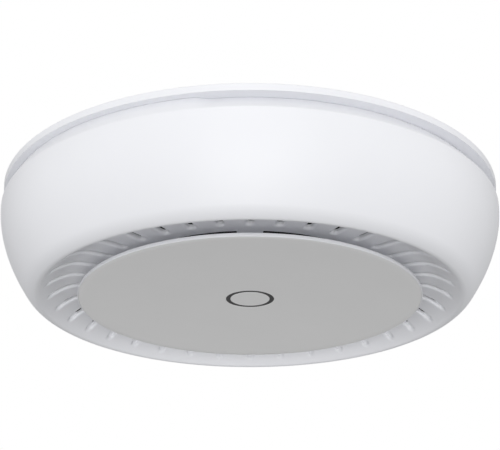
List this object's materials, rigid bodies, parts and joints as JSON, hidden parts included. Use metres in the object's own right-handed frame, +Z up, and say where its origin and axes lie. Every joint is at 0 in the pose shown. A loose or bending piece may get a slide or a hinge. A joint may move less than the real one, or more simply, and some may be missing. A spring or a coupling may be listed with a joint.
{
  "type": "ceiling access point",
  "caption": "Round ceiling wireless access point with a slotted vent ring around a dished grey disc, twist-locked to a screwed ceiling plate.",
  "frame": {"origin": "centre of the ceiling screw circle, on the ceiling plate's top face", "axes": "+Z up into the ceiling, so the unit hangs below; +Y is the side of the plate's cable opening"},
  "size_m": [0.191, 0.191, 0.0422],
  "materials": {
    "white_plastic": "satin moulded",
    "grey_disc": "fine matte",
    "smoked_guide": "smoked translucent",
    "led": "clear",
    "board": "solder mask",
    "steel": "plated",
    "black_plastic": "moulded",
    "gold": "plated",
    "soft_pad": "matte",
    "bare_aluminium": "bare",
    "white_pins": "moulded",
    "ferrite": "sintered",
    "capacitor_sleeve": "sleeved",
    "coax_jacket": "jacket",
    "red_plastic": "moulded"
  },
  "bodies": {
    "plate": {"ceiling_plate": "white_plastic"},
    "unit": {"outer_shell": "white_plastic", "back_cover": "white_plastic", "cover_screws": "steel", "disc_carrier": "white_plastic", "carrier_screws": "steel", "front_disc": "grey_disc", "disc_centre": "grey_disc", "light_guide": "smoked_guide", "status_leds": "led", "main_board": "board", "board_screws": "steel", "socket_shield_in": "steel", "socket_shield_out": "steel", "socket_insert_in": "black_plastic", "socket_insert_out": "black_plastic", "socket_contacts": "gold", "port_transformers": "black_plastic", "processor": "black_plastic", "memory_chips": "black_plastic", "thermal_pad": "soft_pad", "heatsink": "bare_aluminium", "heatsink_pins": "white_pins", "power_inductor": "ferrite", "power_capacitors": "capacitor_sleeve", "radio_can_low": "steel", "radio_can_high": "steel", "reflector_ring": "bare_aluminium", "reflector_screws": "steel", "low_band_antennas": "gold", "high_band_antennas": "gold", "antenna_holders": "black_plastic", "coax_leads": "coax_jacket", "coax_connectors": "gold", "tact_switches": "black_plastic"},
    "reset": {"reset_button": "red_plastic"},
    "mode": {"mode_button": "white_pins"}
  },
  "joints": [
    {"name": "twist_lock", "type": "hinge", "parent": "plate", "child": "unit", "pos_m": [0, 0, 0], "axis": [0, 0, -1], "range_deg": [0, 14]},
    {"name": "reset_press", "type": "slide", "parent": "unit", "child": "reset", "axis": [0, -1, 0], "range_m": [0, 0.0005], "stiffness_N_per_m": 3000},
    {"name": "mode_press", "type": "slide", "parent": "unit", "child": "mode", "axis": [0, -1, 0], "range_m": [0, 0.0005], "stiffness_N_per_m": 3000}
  ]
}
